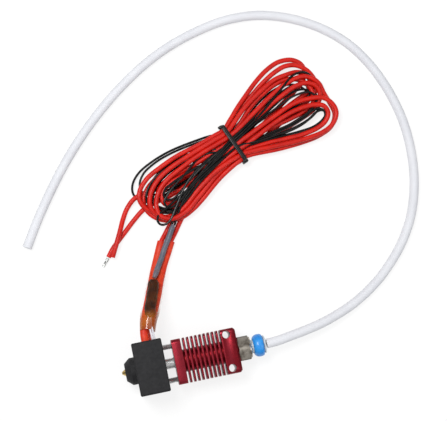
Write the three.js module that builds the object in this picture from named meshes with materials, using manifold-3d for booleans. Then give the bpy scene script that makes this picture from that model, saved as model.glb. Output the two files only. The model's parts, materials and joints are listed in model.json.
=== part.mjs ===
// A Bowden hotend lying on a bench: nozzle, heater block in its silicone sock, finned heatsink,
// push-in tube coupler, PTFE tube, and the heater and thermistor wires tied up in a hank.
// Millimetres, +Z up. The filament axis runs along X at height AXIS_Z, nozzle towards -X.
// The origin is under the middle of the hotend, on the surface that it lies on.
import * as THREE from 'three';
import { mergeVertices } from 'three/addons/utils/BufferGeometryUtils.js';
import Module from 'manifold-3d';

// ---- driving dimensions -----------------------------------------------------------------------

const AXIS_Z = 8;

const SINK = {
  x: -8.3, length: 26.8, width: 18.8, height: 12, edgeRadius: 1.8, endChamfer: 0.8,
  nozzleFlange: 3.8, finCount: 9, fin: 0.75, slot: 1.0, coreRadius: 4.7,
  breakBoreDepth: 15.8, couplerBoreDepth: 6.8,
};
const SINK_END = SINK.x + SINK.length;
const MOUNT_HOLE = { fromEnd: 3.9, y: 7, radius: 1.6 };

const BLOCK = { gapToSink: 5.2, length: 10, side: 19.6, underAxis: 6.9, edgeRadius: 0.4 };
const BLOCK_FRONT = SINK.x - BLOCK.gapToSink - BLOCK.length;
const BLOCK_BACK = BLOCK_FRONT + BLOCK.length;
const BLOCK_TOP = BLOCK.side - BLOCK.underAxis;

const THREAD = { radius: 2.95, bore: 3.15 };
const FILAMENT_BORE = 1.0;
const TUBE = { radius: 2.0, bore: 1.0, clearanceBore: 2.15 };

const NOZZLE = {
  tip: -30.5, tipRadius: 0.55, orifice: 0.2, coneTop: -27.0, coneRadius: 2.9,
  hexFlats: 7, hexOuter: -26.6, threadEnd: -17.9,
};
const BREAK = { start: -17.6, waistRadius: 2.2, seat: -6.3, upperRadius: 3.0 };

const SOCK = {
  rimToSink: 4.0, length: 12.4, side: 21.8, edgeRadius: 1.0, gap: 0.15,
  cupRadius: 5.65, cupStraight: 2.0, cupEnd: -29.1, cupEndRadius: 3.6,
  lipBore: 2.0, nozzleRoomRadius: 4.35, wireSlotForward: 2.35, wireSlotZ: [3.2, 12.5],
};
const SOCK_RIM = SINK.x - SOCK.rimToSink;
const SOCK_FACE = SOCK_RIM - SOCK.length;
const SOCK_CENTRE_Z = SOCK.side / 2 - AXIS_Z;

const SCREW = { y: 7, radius: 1.15, bore: 1.3, headRadius: 2.3, headDepth: 1.4, sunk: 0.2 };
const HEATER = { radius: 3.0, bore: 3.1, z: 6.9, capRadius: 2.4, capDepth: 1.6 };
const HEATER_X = BLOCK_FRONT + BLOCK.length / 2;
const SET_SCREW = { y: -4, radius: 1.4, bore: 1.55, socketRadius: 0.85, socketDepth: 1.4 };
const THERMISTOR = { x: -15.2, z: 11.0, bore: 1.25, beadRadius: 1.0, from: 3, to: 7 };

const COUPLER = {
  hexLength: 5.0, hexFlats: 10, collarLength: 0.6, collarRadius: 4.5,
  chamberFrom: 2.0, chamberRadius: 3.75, end: 30.5,
};
const COLLAR_END = SINK_END + COUPLER.hexLength + COUPLER.collarLength;
const RELEASE_TRAVEL = 0.9;
const RUNNING_GAP = 0.1;
const RELEASE_RING_X = COLLAR_END + RELEASE_TRAVEL + RUNNING_GAP;
const RELEASE_RING_LENGTH = 4.3;

const WIRE = { heater: 2.1, thermistor: 1.0, bare: 1.3, sleeve: 2.8, lead: 0.8 };
const SHRINK = 2.3;
const WRAP = { inner: 8.7, outer: 9.2 };

// The tied hank of wires, in its own frame: u along its length, v across it.
const HANK = { x: 34.9, y: 86.4, turn: 23, height: 7, waist: 7.9, underTie: 1.2, overTie: 0.4 };
const TIE = {
  width: 1.8, thickness: 0.8, gap: 0.5,
  knotU: [-1.4, 1.4], knotZ: [2.0, 5.4], stubU: [-1.6, 0.5], stubZ: [3.0, 4.6], stubLength: 1.1,
};

// Reaches past the part on both sides, for tools that cut right through.
const THROUGH = [-20, 20];
const ROUND = 40;
const SMALL_ROUND = 24;
const CORD_ARC_STEPS = 4;

// ---- routes of the free cords: points chosen by hand ------------------------------------------

const TUBE_ROUTE = [
  [30.9, 0, 8], [35.3, 0.2, 7.95], [42.1, 1.2, 7.4], [48.9, 2.3, 6.5], [55.7, 3.7, 5.4],
  [62.4, 5.7, 4.3], [69, 8.1, 3.3], [75.3, 11.2, 2.5], [81.3, 14.9, 2.1], [86.8, 19.1, 2.05],
  [96.6, 29.1, 2.05], [104.2, 41, 2.05], [108.8, 54.3, 2.05], [110.7, 68.3, 2.05],
  [110.2, 82.4, 2.05], [107.1, 96.2, 2.05], [101.7, 109.3, 2.05], [93.8, 121, 2.05],
  [83.2, 130.3, 2.05], [70.8, 137, 2.05], [57.2, 140.9, 2.05], [43, 141.3, 2.05],
  [29.1, 138.6, 2.05], [15.6, 134, 2.05], [3, 127.6, 2.05], [-8.7, 119.7, 2.05],
  [-19.5, 110.8, 2.05], [-29.5, 101.1, 2.05], [-38.6, 90.7, 2.05], [-46.9, 79.7, 2.05],
  [-54.5, 68.4, 2.05], [-59.7, 59.7, 2.05],
];
const SLEEVE_A_ROUTE = [
  [-18.6, 10.1, 16.2], [-18.5, 13.5, 16.2], [-17.8, 17.5, 15.5], [-16.4, 21.5, 13.8],
  [-14.8, 25.5, 11.3], [-13.1, 29.5, 8.5], [-11.5, 33.5, 6.1], [-9.9, 37.5, 4.3],
  [-8.2, 41.5, 3.0], [-6.3, 45.5, 2.2], [-4.5, 49.5, 1.8], [-3.6, 51.4, 1.7],
];
const SLEEVE_B_ROUTE = [
  [-17.6, 10.1, 13.2], [-17.2, 13.5, 13.3], [-15.6, 16.6, 13.4], [-13.8, 20.4, 12.9],
  [-11.9, 24.3, 10.9], [-10.2, 28.3, 8.5], [-8.6, 32.3, 6.2], [-7.0, 36.3, 4.4],
  [-5.2, 40.3, 3.1], [-3.1, 44.4, 2.3], [-0.9, 48.4, 1.8], [0.4, 50.7, 1.7],
];
const SPLICE_ROUTE = [
  [-14.7, 20.6, 16.9], [-14.0, 24, 15.0], [-12.7, 27.6, 12.9], [-11.4, 31.3, 10.7],
  [-10.2, 35.2, 8.6],
];
const WRAP_ROUTE = [
  [-16.6, 14.7, 15.9], [-15.3, 20.3, 14.4], [-13.6, 24, 12.4], [-11.9, 28, 10.1],
  [-10.5, 31.8, 8.1], [-9.3, 35.2, 6.4], [-8.2, 38.2, 5.2],
];
const SHRINK_ROUTE = [
  [-9.8, 36.3, 7.8], [-7.9, 39.5, 6.5], [-5.6, 43.3, 5.3], [-3.2, 47.6, 4.4],
  [-0.9, 51.3, 4.0], [2.6, 57.1, 3.9],
];
const LEAD_ROUTE = [
  [-15.2, 7.3, 19.0], [-15.2, 10.4, 19.0], [-15.3, 13.5, 18.7], [-15.4, 16.5, 18.0],
  [-15.1, 19.9, 16.9],
];
const HEATER_WIRE_A_ROUTE = [[-3.3, 51.9, 1.6], [-1.6, 54.0, 1.2], [0.3, 56.4, 1.1]];
const HEATER_WIRE_B_ROUTE = [[0.7, 51.2, 1.6], [2.9, 54.0, 1.2], [5.2, 57.3, 1.1]];
const THERMISTOR_WIRE_ROUTE = [[2.8, 57.4, 3.9], [3.0, 57.7, 3.9], [3.2, 58.0, 3.9]];
const TAIL_A_ROUTE = [
  [-11.3, 71.6, 2.0], [-15.1, 68.2, 1.5], [-18.0, 63.4, 1.9], [-19.9, 59.2, 2.9],
  [-21.9, 55.1, 3.35], [-23.7, 51.6, 3.1], [-25.2, 48.7, 2.6],
];
const TAIL_B_ROUTE = [
  [-8.5, 66.2, 1.6], [-13.3, 62.6, 1.1], [-17.5, 58.8, 1.1], [-21.7, 55.0, 1.1],
  [-24.4, 52.4, 1.1], [-26.9, 49.2, 1.1],
];
const BARE_END_ROUTE = [[-27.1, 48.9, 1.1], [-28.5, 47.2, 1.0], [-29.9, 45.6, 0.9]];

// ---- shape helpers ----------------------------------------------------------------------------

const wasm = await Module();
wasm.setup();

function isFace(a, b, c) {
  return a !== b && b !== c && c !== a;
}

// A closed geometry as a solid: corners merged, and the zero faces on a turning axis dropped.
function toSolid(geometry) {
  const bare = geometry.index ? geometry.toNonIndexed() : geometry.clone();
  bare.deleteAttribute('normal');
  bare.deleteAttribute('uv');
  const merged = mergeVertices(bare, 1e-4);
  const corners = merged.index.array;
  const kept = [];
  for (let i = 0; i < corners.length; i += 3) {
    const face = [corners[i], corners[i + 1], corners[i + 2]];
    if (isFace(...face)) kept.push(...face);
  }
  const vertProperties = merged.attributes.position.array;
  return new wasm.Manifold(new wasm.Mesh({
    numProp: 3, vertProperties, triVerts: new Uint32Array(kept),
  }));
}

function toGeometry(solid) {
  const mesh = solid.getMesh();
  const geometry = new THREE.BufferGeometry();
  geometry.setAttribute('position', new THREE.BufferAttribute(mesh.vertProperties, 3));
  geometry.setIndex(new THREE.BufferAttribute(mesh.triVerts, 1));
  geometry.computeVertexNormals();
  return geometry;
}

function join(...geometries) {
  return toGeometry(geometries.map(toSolid).reduce((sum, solid) => sum.add(solid)));
}

function cut(body, ...tools) {
  return toGeometry(tools.map(toSolid).reduce((rest, tool) => rest.subtract(tool), toSolid(body)));
}

function common(a, b) {
  return toGeometry(toSolid(a).intersect(toSolid(b)));
}

function box([x0, x1], [y0, y1], [z0, z1]) {
  const geometry = new THREE.BoxGeometry(x1 - x0, y1 - y0, z1 - z0);
  return geometry.translate((x0 + x1) / 2, (y0 + y1) / 2, (z0 + z1) / 2);
}

// A body turned about the X axis. The profile is a list of [x, radius] that starts and ends on
// the axis, low x first.
function turned(profile, sides = ROUND) {
  const points = profile.map(([x, radius]) => new THREE.Vector2(radius, x));
  return new THREE.LatheGeometry(points, sides).rotateZ(-Math.PI / 2);
}

// A turned body with a bore: the profile closes on itself, outside first and low x first.
function turnedRing(profile, sides = ROUND) {
  return turned([...profile, profile[0]], sides);
}

function rodX(x0, x1, radius, sides = ROUND) {
  return turned([[x0, 0], [x0, radius], [x1, radius], [x1, 0]], sides);
}

function rodY(x, z, [y0, y1], radius, sides = ROUND) {
  const geometry = new THREE.CylinderGeometry(radius, radius, y1 - y0, sides);
  return geometry.translate(x, (y0 + y1) / 2, z);
}

function rodZ(x, y, [z0, z1], radius, sides = SMALL_ROUND) {
  const geometry = new THREE.CylinderGeometry(radius, radius, z1 - z0, sides);
  return geometry.rotateX(Math.PI / 2).translate(x, y, (z0 + z1) / 2);
}

// A hexagonal bar along X with a corner at the top. Its two ends are chamfered.
function hexX(x0, x1, flats) {
  const corner = flats / Math.sqrt(3);
  const chamfer = (corner - flats / 2) / 2;
  const bar = new THREE.CylinderGeometry(corner, corner, x1 - x0, 6);
  bar.rotateZ(-Math.PI / 2).translate((x0 + x1) / 2, 0, 0);
  const turnedBar = turned([
    [x0, 0], [x0, flats / 2], [x0 + chamfer, corner + RUNNING_GAP],
    [x1 - chamfer, corner + RUNNING_GAP], [x1, flats / 2], [x1, 0],
  ]);
  return common(bar, turnedBar);
}

// An outline in the YZ plane, extruded along X.
function extrudedX(outline, x0, x1, bevel = 0) {
  const geometry = new THREE.ExtrudeGeometry(outline, {
    depth: x1 - x0 - 2 * bevel, curveSegments: 6, steps: 1, bevelEnabled: bevel > 0,
    bevelThickness: bevel, bevelSize: bevel, bevelOffset: -bevel, bevelSegments: 1,
  });
  const toX = new THREE.Matrix4().makeBasis(
    new THREE.Vector3(0, 1, 0), new THREE.Vector3(0, 0, 1), new THREE.Vector3(1, 0, 0),
  );
  return geometry.applyMatrix4(toX).translate(x0 + bevel, 0, 0);
}

function roundedRectangle(width, height, radius, centreZ = 0) {
  const [y, z] = [width / 2, height / 2];
  const shape = new THREE.Shape();
  shape.absarc(y - radius, centreZ + z - radius, radius, 0, Math.PI / 2);
  shape.absarc(radius - y, centreZ + z - radius, radius, Math.PI / 2, Math.PI);
  shape.absarc(radius - y, centreZ + radius - z, radius, Math.PI, 1.5 * Math.PI);
  shape.absarc(y - radius, centreZ + radius - z, radius, 1.5 * Math.PI, 2 * Math.PI);
  return shape;
}

function circle(diameter) {
  const shape = new THREE.Shape();
  shape.absarc(0, 0, diameter / 2, 0, 2 * Math.PI);
  return shape;
}

function moved(route, [dx, dy, dz]) {
  return route.map(([x, y, z]) => [x + dx, y + dy, z + dz]);
}

// A round cord, or with an inner diameter a round sleeve, along a smooth curve.
function cord(route, diameter, steps, inner = 0) {
  const points = route.map((point) => new THREE.Vector3(...point));
  const path = new THREE.CatmullRomCurve3(points, false, 'centripetal');
  const section = circle(diameter);
  if (inner > 0) section.holes.push(circle(inner));
  return new THREE.ExtrudeGeometry(section, {
    steps, extrudePath: path, curveSegments: CORD_ARC_STEPS, bevelEnabled: false,
  });
}

// ---- materials --------------------------------------------------------------------------------

function finish(color, roughness, metalness = 0) {
  return () => new THREE.MeshStandardMaterial({ color, roughness, metalness });
}

const BRASS = finish(0xb8923c, 0.3, 1);
const STEEL = finish(0xb9babb, 0.3, 1);
const NICKEL = finish(0xa7a49c, 0.25, 1);
const ALUMINIUM = finish(0xb4b6b8, 0.4, 1);
const RED_ANODISED = finish(0x780d18, 0.32, 0.9);
const SILICONE = finish(0x303032, 0.7);
const BLUE_PLASTIC = finish(0x3aa5ee, 0.4);
const PALE_PLASTIC = finish(0xd9dcdc, 0.4);
const BLACK_RUBBER = finish(0x181818, 0.6);
const PTFE = finish(0xf0f1f2, 0.4);
const CERAMIC = finish(0xe6e2d6, 0.7);
const GLASS = finish(0xa8714a, 0.2);
const RED_WIRE = finish(0xe03020, 0.45);
const BLACK_WIRE = finish(0x17171a, 0.4);
const WHITE_LEAD = finish(0xe9e7ec, 0.6);
const GREY_SHRINK = finish(0x6a6c78, 0.5);
const DARK_SHRINK = finish(0x2c1b12, 0.5);
const AMBER_FILM = finish(0xb5561c, 0.3);
const TINNED = finish(0xc7cbc8, 0.35, 1);
const BLACK_TIE = finish(0x202326, 0.45);

const part = new THREE.Group();
const hotend = new THREE.Group();
hotend.position.z = AXIS_Z;
part.add(hotend);

function add(group, name, geometry, material) {
  const mesh = new THREE.Mesh(geometry, material());
  mesh.name = name;
  group.add(mesh);
}

// ---- heatsink and the pieces on the filament axis ---------------------------------------------

function heatsink() {
  const outline = roundedRectangle(SINK.width, SINK.height, SINK.edgeRadius);
  const spare = 2 * SINK.endChamfer;
  const bar = extrudedX(outline, SINK.x - spare, SINK_END, SINK.endChamfer);
  const squareEnd = box([SINK.x - 2 * spare, SINK.x], THROUGH, THROUGH);
  const slots = [];
  for (let i = 0; i <= SINK.finCount; i += 1) {
    const x = SINK.x + SINK.nozzleFlange + i * (SINK.fin + SINK.slot);
    slots.push(box([x, x + SINK.slot], THROUGH, THROUGH));
  }
  const core = rodX(SINK.x, SINK_END, SINK.coreRadius);
  const grooves = cut(join(...slots), core);
  const x = SINK_END - MOUNT_HOLE.fromEnd;
  const mountHoles = [-1, 1].map((side) => (
    rodZ(x, side * MOUNT_HOLE.y, THROUGH, MOUNT_HOLE.radius, ROUND)
  ));
  const screwHoles = [-1, 1].map((side) => (
    rodX(SINK.x - 1, SINK.x + SINK.nozzleFlange + 0.5, SCREW.bore, SMALL_ROUND)
      .translate(0, side * SCREW.y, 0)
  ));
  const bores = [
    rodX(SINK.x - 1, SINK.x + SINK.breakBoreDepth, THREAD.bore),
    rodX(SINK.x, SINK_END, TUBE.clearanceBore),
    rodX(SINK_END - SINK.couplerBoreDepth, SINK_END + 1, THREAD.bore),
  ];
  return cut(bar, squareEnd, grooves, ...mountHoles, ...screwHoles, ...bores);
}

function nozzle() {
  const shoulder = BLOCK_FRONT - RUNNING_GAP;
  const cone = turned([
    [NOZZLE.tip, 0], [NOZZLE.tip, NOZZLE.tipRadius], [NOZZLE.tip + 0.3, NOZZLE.tipRadius + 0.2],
    [NOZZLE.coneTop, NOZZLE.coneRadius], [NOZZLE.hexOuter, NOZZLE.hexFlats / 2 - 0.2],
    [NOZZLE.hexOuter + 0.2, NOZZLE.hexFlats / 2 - 0.2], [NOZZLE.hexOuter + 0.2, 0],
  ]);
  const thread = turned([
    [shoulder - 0.2, 0], [shoulder - 0.2, THREAD.radius - 0.4],
    [shoulder + 0.8, THREAD.radius - 0.4], [shoulder + 1.2, THREAD.radius],
    [NOZZLE.threadEnd - 0.4, THREAD.radius], [NOZZLE.threadEnd, THREAD.radius - 0.4],
    [NOZZLE.threadEnd, 0],
  ]);
  const bore = turned([
    [NOZZLE.tip - 1, 0], [NOZZLE.tip - 1, NOZZLE.orifice], [NOZZLE.tip + 1, NOZZLE.orifice],
    [NOZZLE.tip + 2.2, FILAMENT_BORE], [NOZZLE.threadEnd + 1, FILAMENT_BORE],
    [NOZZLE.threadEnd + 1, 0],
  ], SMALL_ROUND);
  return cut(join(cone, hexX(NOZZLE.hexOuter, shoulder, NOZZLE.hexFlats), thread), bore);
}

function heatBreak() {
  const topEnd = SINK.x + SINK.breakBoreDepth - 0.3;
  return turnedRing([
    [BREAK.start, FILAMENT_BORE], [BREAK.start, THREAD.radius],
    [BLOCK_BACK + 0.15, THREAD.radius], [BLOCK_BACK + 0.5, BREAK.waistRadius],
    [SINK.x - 0.4, BREAK.waistRadius], [SINK.x, BREAK.upperRadius],
    [topEnd, BREAK.upperRadius], [topEnd, TUBE.clearanceBore],
    [BREAK.seat, TUBE.clearanceBore], [BREAK.seat, FILAMENT_BORE],
  ]);
}

function tubeInside() {
  return turnedRing([
    [BREAK.seat + 0.2, TUBE.bore], [BREAK.seat + 0.2, TUBE.radius],
    [COUPLER.end, TUBE.radius], [COUPLER.end, TUBE.bore],
  ]);
}

function heaterBlock() {
  const outline = roundedRectangle(
    BLOCK.side, BLOCK.side, BLOCK.edgeRadius, BLOCK_TOP - BLOCK.side / 2,
  );
  const headEnd = BLOCK_FRONT + SCREW.sunk + SCREW.headDepth;
  const screwHoles = [-1, 1].map((side) => turned([
    [BLOCK_FRONT - 1, 0], [BLOCK_FRONT - 1, SCREW.headRadius + 0.15],
    [BLOCK_FRONT + SCREW.sunk, SCREW.headRadius + 0.15], [headEnd, SCREW.bore],
    [BLOCK_BACK + 1, SCREW.bore], [BLOCK_BACK + 1, 0],
  ], SMALL_ROUND).translate(0, side * SCREW.y, 0));
  return cut(
    extrudedX(outline, BLOCK_FRONT, BLOCK_BACK),
    rodX(BLOCK_FRONT - 1, BLOCK_BACK + 1, THREAD.bore),
    rodY(HEATER_X, HEATER.z, THROUGH, HEATER.bore),
    rodZ(HEATER_X, SET_SCREW.y, [HEATER.z, BLOCK_TOP + 1], SET_SCREW.bore),
    rodY(THERMISTOR.x, THERMISTOR.z, [THERMISTOR.from - 1, 20], THERMISTOR.bore, SMALL_ROUND),
    ...screwHoles,
  );
}

function siliconeSock() {
  const outline = roundedRectangle(SOCK.side, SOCK.side, SOCK.edgeRadius, SOCK_CENTRE_Z);
  const inside = BLOCK.side / 2 + SOCK.gap;
  const cavity = box(
    [BLOCK_FRONT - SOCK.gap, SOCK_RIM + 1], [-inside, inside],
    [-BLOCK.underAxis - SOCK.gap, BLOCK_TOP + SOCK.gap],
  );
  const cup = turned([
    [SOCK.cupEnd, 0], [SOCK.cupEnd, SOCK.cupEndRadius],
    [SOCK_FACE - SOCK.cupStraight, SOCK.cupRadius], [SOCK_FACE + 0.5, SOCK.cupRadius],
    [SOCK_FACE + 0.5, 0],
  ]);
  const nozzleRoom = turned([
    [SOCK.cupEnd - 1, 0], [SOCK.cupEnd - 1, SOCK.lipBore], [SOCK.cupEnd + 0.8, SOCK.lipBore + 0.5],
    [NOZZLE.hexOuter - 0.3, SOCK.nozzleRoomRadius], [BLOCK_FRONT, SOCK.nozzleRoomRadius],
    [BLOCK_FRONT, 0],
  ]);
  const wireSlot = box(
    [HEATER_X - SOCK.wireSlotForward, SOCK_RIM + 1], [inside - 1, SOCK.side], SOCK.wireSlotZ,
  );
  const skin = extrudedX(outline, SOCK_FACE, SOCK_RIM, 0.4);
  return cut(join(skin, cup), cavity, nozzleRoom, wireSlot);
}

// ---- heater, thermistor and screws ------------------------------------------------------------

function supportScrew(side) {
  const head = BLOCK_FRONT + SCREW.sunk;
  const tip = SINK.x + SINK.nozzleFlange - 0.2;
  const body = turned([
    [head, 0], [head, SCREW.headRadius], [head + SCREW.headDepth, SCREW.radius],
    [tip - 0.3, SCREW.radius], [tip, SCREW.radius - 0.3], [tip, 0],
  ], SMALL_ROUND);
  const socket = rodX(head - 1, head + 1.0, 0.85, 6);
  return cut(body, socket).translate(0, side * SCREW.y, 0);
}

function heaterCartridge() {
  const end = BLOCK.side / 2;
  return cut(
    rodY(HEATER_X, HEATER.z, [-end, end], HEATER.radius),
    rodY(HEATER_X, HEATER.z, [end - HEATER.capDepth, end + 1], HEATER.capRadius),
  );
}

function heaterEndPlug() {
  const end = BLOCK.side / 2;
  const from = end - HEATER.capDepth + RUNNING_GAP;
  const plug = rodY(HEATER_X, HEATER.z, [from, end], HEATER.capRadius - 0.2, SMALL_ROUND);
  const holes = [-1, 1].map((side) => (
    rodY(HEATER_X, HEATER.z + 1.1 * side, [0, 20], 0.55, 12)
  ));
  return cut(plug, ...holes);
}

function heaterSetScrew() {
  const from = HEATER.z + HEATER.bore + 0.15;
  const top = BLOCK_TOP - 0.3;
  const socketZ = [top - SET_SCREW.socketDepth, BLOCK_TOP + 1];
  const screw = rodZ(HEATER_X, SET_SCREW.y, [from, top], SET_SCREW.radius);
  const socket = rodZ(HEATER_X, SET_SCREW.y, socketZ, SET_SCREW.socketRadius, 6);
  return cut(screw, socket);
}

function thermistorBead() {
  const { beadRadius: r, from, to } = THERMISTOR;
  const bead = new THREE.CapsuleGeometry(r, to - from - 2 * r, 6, SMALL_ROUND);
  return bead.translate(THERMISTOR.x, (from + to) / 2, THERMISTOR.z);
}

// ---- push-in coupler --------------------------------------------------------------------------

const CHAMBER = SINK_END + COUPLER.chamberFrom;
const GRAB_RING_X = CHAMBER + 1.5;

function couplerBody() {
  const threadStart = SINK_END - SINK.couplerBoreDepth + 0.5;
  const thread = turned([
    [threadStart, 0], [threadStart, THREAD.radius - 0.4], [threadStart + 0.4, THREAD.radius],
    [SINK_END + 0.3, THREAD.radius], [SINK_END + 0.3, 0],
  ]);
  const hexEnd = SINK_END + COUPLER.hexLength;
  const collar = turned([
    [hexEnd - 0.3, 0], [hexEnd - 0.3, COUPLER.collarRadius],
    [COLLAR_END - 0.25, COUPLER.collarRadius], [COLLAR_END, COUPLER.collarRadius - 0.25],
    [COLLAR_END, 0],
  ]);
  return cut(
    join(thread, hexX(SINK_END + 0.05, hexEnd, COUPLER.hexFlats), collar),
    rodX(threadStart - 1, COLLAR_END + 1, TUBE.clearanceBore),
    rodX(CHAMBER, COLLAR_END + 1, COUPLER.chamberRadius),
  );
}

function couplerOring() {
  const section = 0.65;
  const ring = new THREE.TorusGeometry(TUBE.clearanceBore + section, section, 12, ROUND);
  return ring.rotateY(Math.PI / 2).translate(CHAMBER + section + RUNNING_GAP, 0, 0);
}

// A thin steel washer whose inner edge is cut into teeth.
function grabRing() {
  const washer = turnedRing([
    [GRAB_RING_X, TUBE.clearanceBore], [GRAB_RING_X, COUPLER.chamberRadius - 0.15],
    [GRAB_RING_X + 0.3, COUPLER.chamberRadius - 0.15], [GRAB_RING_X + 0.3, TUBE.clearanceBore],
  ]);
  const gaps = [];
  for (let i = 0; i < 6; i += 1) {
    const gap = box([GRAB_RING_X - 1, GRAB_RING_X + 1], [0, 2.9], [-0.2, 0.2]);
    gaps.push(gap.rotateX((i * Math.PI) / 3));
  }
  return cut(washer, ...gaps);
}

function guideRing() {
  const from = GRAB_RING_X + 0.5;
  return turnedRing([
    [from, 2.95], [from, COUPLER.chamberRadius - RUNNING_GAP],
    [COLLAR_END - 0.1, COUPLER.chamberRadius - RUNNING_GAP], [COLLAR_END - 0.1, 2.95],
  ]);
}

function releaseRing() {
  const from = RELEASE_RING_X;
  const to = from + RELEASE_RING_LENGTH;
  return turnedRing([
    [from, 2.95], [from, 3.4], [from + 0.5, 4.1], [from + 1.2, 4.55], [from + 2.1, 4.75],
    [to - 1.0, 4.7], [to - 0.3, 4.4], [to, 3.9], [to, 2.95],
  ]);
}

function releaseSleeve() {
  const from = GRAB_RING_X + 0.3 + RELEASE_TRAVEL + RUNNING_GAP;
  const flange = RELEASE_RING_X + RELEASE_RING_LENGTH + 0.15;
  return turnedRing([
    [from, 2.3], [from, 2.75], [flange, 2.75], [flange, 3.5], [flange + 0.2, 3.7],
    [flange + 0.55, 3.7], [flange + 0.75, 3.4], [flange + 0.75, 2.3],
  ]);
}

add(hotend, 'heatsink', heatsink(), RED_ANODISED);
add(hotend, 'nozzle', nozzle(), BRASS);
add(hotend, 'heat_break', heatBreak(), STEEL);
add(hotend, 'heater_block', heaterBlock(), ALUMINIUM);
add(hotend, 'silicone_sock', siliconeSock(), SILICONE);
add(hotend, 'support_screw_left', supportScrew(1), STEEL);
add(hotend, 'support_screw_right', supportScrew(-1), STEEL);
add(hotend, 'heater_cartridge', heaterCartridge(), STEEL);
add(hotend, 'heater_end_plug', heaterEndPlug(), CERAMIC);
add(hotend, 'heater_set_screw', heaterSetScrew(), STEEL);
add(hotend, 'thermistor_bead', thermistorBead(), GLASS);
add(hotend, 'coupler_body', couplerBody(), NICKEL);
add(hotend, 'coupler_o_ring', couplerOring(), BLACK_RUBBER);
add(hotend, 'coupler_grab_ring', grabRing(), STEEL);
add(hotend, 'coupler_guide_ring', guideRing(), BRASS);
add(hotend, 'release_ring', releaseRing(), BLUE_PLASTIC);
add(hotend, 'release_sleeve', releaseSleeve(), PALE_PLASTIC);
add(hotend, 'ptfe_tube_inside', tubeInside(), PTFE);

// ---- cords ------------------------------------------------------------------------------------

const PAIR = 0.45;

add(part, 'ptfe_tube', cord(TUBE_ROUTE, 2 * TUBE.radius, 56), PTFE);
add(part, 'heater_sleeve_a', cord(SLEEVE_A_ROUTE, WIRE.sleeve, 14), RED_WIRE);
add(part, 'heater_sleeve_b', cord(SLEEVE_B_ROUTE, WIRE.sleeve, 14), RED_WIRE);
add(part, 'thermistor_lead_a', cord(moved(LEAD_ROUTE, [-PAIR, 0, 0]), WIRE.lead, 9), WHITE_LEAD);
add(part, 'thermistor_lead_b', cord(moved(LEAD_ROUTE, [PAIR, 0, 0]), WIRE.lead, 9), WHITE_LEAD);
add(part, 'thermistor_splice', cord(SPLICE_ROUTE, WIRE.sleeve, 6), DARK_SHRINK);
add(part, 'insulation_wrap', cord(WRAP_ROUTE, WRAP.outer, 8, WRAP.inner), AMBER_FILM);
add(part, 'thermistor_shrink_tube', cord(SHRINK_ROUTE, SHRINK, 8), GREY_SHRINK);
add(part, 'heater_wire_a_lead', cord(HEATER_WIRE_A_ROUTE, WIRE.heater, 3), RED_WIRE);
add(part, 'heater_wire_b_lead', cord(HEATER_WIRE_B_ROUTE, WIRE.heater, 3), RED_WIRE);
const halfPair = [0.5, -0.35, 0];
const otherHalf = [-0.5, 0.35, 0];
add(part, 'thermistor_wire_a', cord(moved(THERMISTOR_WIRE_ROUTE, halfPair), WIRE.thermistor, 2),
  BLACK_WIRE);
add(part, 'thermistor_wire_b', cord(moved(THERMISTOR_WIRE_ROUTE, otherHalf), WIRE.thermistor, 2),
  BLACK_WIRE);
add(part, 'heater_wire_a_tail', cord(TAIL_A_ROUTE, WIRE.heater, 8), RED_WIRE);
add(part, 'heater_wire_b_tail', cord(TAIL_B_ROUTE, WIRE.heater, 8), RED_WIRE);
add(part, 'heater_wire_b_bare_end', cord(BARE_END_ROUTE, WIRE.bare, 2), TINNED);

// ---- tied hank --------------------------------------------------------------------------------

const bundle = new THREE.Group();
bundle.position.set(HANK.x, HANK.y, 0);
bundle.rotation.z = THREE.MathUtils.degToRad(HANK.turn);
part.add(bundle);

// Two lobes with round ends and a waist between them, the same on both sides of the u axis.
function hankOutline() {
  const ends = [-47.3, 47.8];
  const shape = new THREE.Shape();
  shape.moveTo(ends[0], 0);
  shape.bezierCurveTo(ends[0], -9, -44, -13.5, -36, -13.4);
  shape.bezierCurveTo(-24, -13.2, -12, -9.6, 0, -HANK.waist);
  shape.bezierCurveTo(9, -10.5, 18, -18.9, 34, -19);
  shape.bezierCurveTo(44, -19, ends[1], -12, ends[1], 0);
  shape.bezierCurveTo(ends[1], 12, 44, 19, 34, 19);
  shape.bezierCurveTo(18, 18.9, 9, 10.5, 0, HANK.waist);
  shape.bezierCurveTo(-12, 9.6, -24, 13.2, -36, 13.4);
  shape.bezierCurveTo(-44, 13.5, ends[0], 9, ends[0], 0);
  return shape;
}

function wireHank() {
  const body = new THREE.ExtrudeGeometry(hankOutline(), {
    depth: HANK.height, curveSegments: 7, steps: 1, bevelEnabled: false,
  });
  const band = [-TIE.width / 2 - 0.5, TIE.width / 2 + 0.5];
  const below = box(band, THROUGH, [-1, HANK.underTie]);
  const above = box(band, THROUGH, [HANK.height - HANK.overTie, HANK.height + 1]);
  return cut(body, below, above);
}

function hankTie() {
  const innerWidth = 2 * (HANK.waist + TIE.gap);
  const innerHeight = HANK.height - TIE.thickness;
  const outer = roundedRectangle(
    innerWidth + 2 * TIE.thickness, innerHeight + 2 * TIE.thickness, 1.5,
  );
  outer.holes.push(roundedRectangle(innerWidth, innerHeight, 0.6));
  const band = extrudedX(outer, -TIE.width / 2, TIE.width / 2);
  band.translate(0, 0, innerHeight / 2 + TIE.thickness + 0.05);
  const side = HANK.waist + TIE.gap + TIE.thickness;
  const knot = box(TIE.knotU, [-side - 0.5, -side + 0.3], TIE.knotZ);
  const stub = box(TIE.stubU, [side - 0.3, side + TIE.stubLength], TIE.stubZ);
  return join(band, knot, stub);
}

add(bundle, 'wire_hank', wireHank(), RED_WIRE);
add(bundle, 'hank_tie', hankTie(), BLACK_TIE);

export default part;
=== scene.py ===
import json
import math

import bmesh
import bpy
import numpy as np
from mathutils import Matrix, Vector, kdtree


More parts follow.
